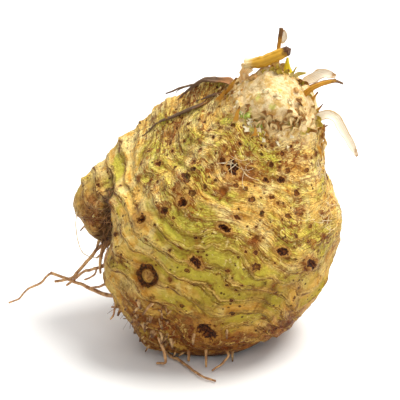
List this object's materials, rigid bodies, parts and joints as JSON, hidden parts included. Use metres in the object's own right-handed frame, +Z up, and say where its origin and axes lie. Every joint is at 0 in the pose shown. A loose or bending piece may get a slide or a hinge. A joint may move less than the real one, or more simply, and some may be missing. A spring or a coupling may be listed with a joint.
{
  "type": "celeriac root",
  "caption": "Celeriac root: a lopsided, folded and pitted ball with a side lobe, a trimmed crown with leaf-stalk stubs, and broken rootlets.",
  "frame": {"origin": "middle of the small flat spot on the root's underside, on the surface that it rests on", "axes": "+Z up off the surface; +X to the right and +Y away, seen from its best side; the crown leans toward +X"},
  "size_m": [0.1576, 0.1071, 0.1426],
  "materials": {
    "root_skin": "raw vegetable skin, satin: cream and yellow-green with brown folds and pits",
    "leaf_stalk": "raw leaf stalk, ochre yellow, satin",
    "leaf_bud": "raw leaf bud, yellow-green, satin",
    "dried_stalk": "thin dried leaf sheath, ivory, matte"
  },
  "bodies": {
    "root": {"celeriac_root": "root_skin", "leaf_stalk_top": "leaf_stalk", "leaf_stalk_thin": "leaf_stalk", "leaf_bud": "leaf_bud", "leaf_stalk_right": "dried_stalk", "leaf_stalk_low": "leaf_stalk", "leaf_sheath_curled": "dried_stalk"}
  },
  "joints": []
}
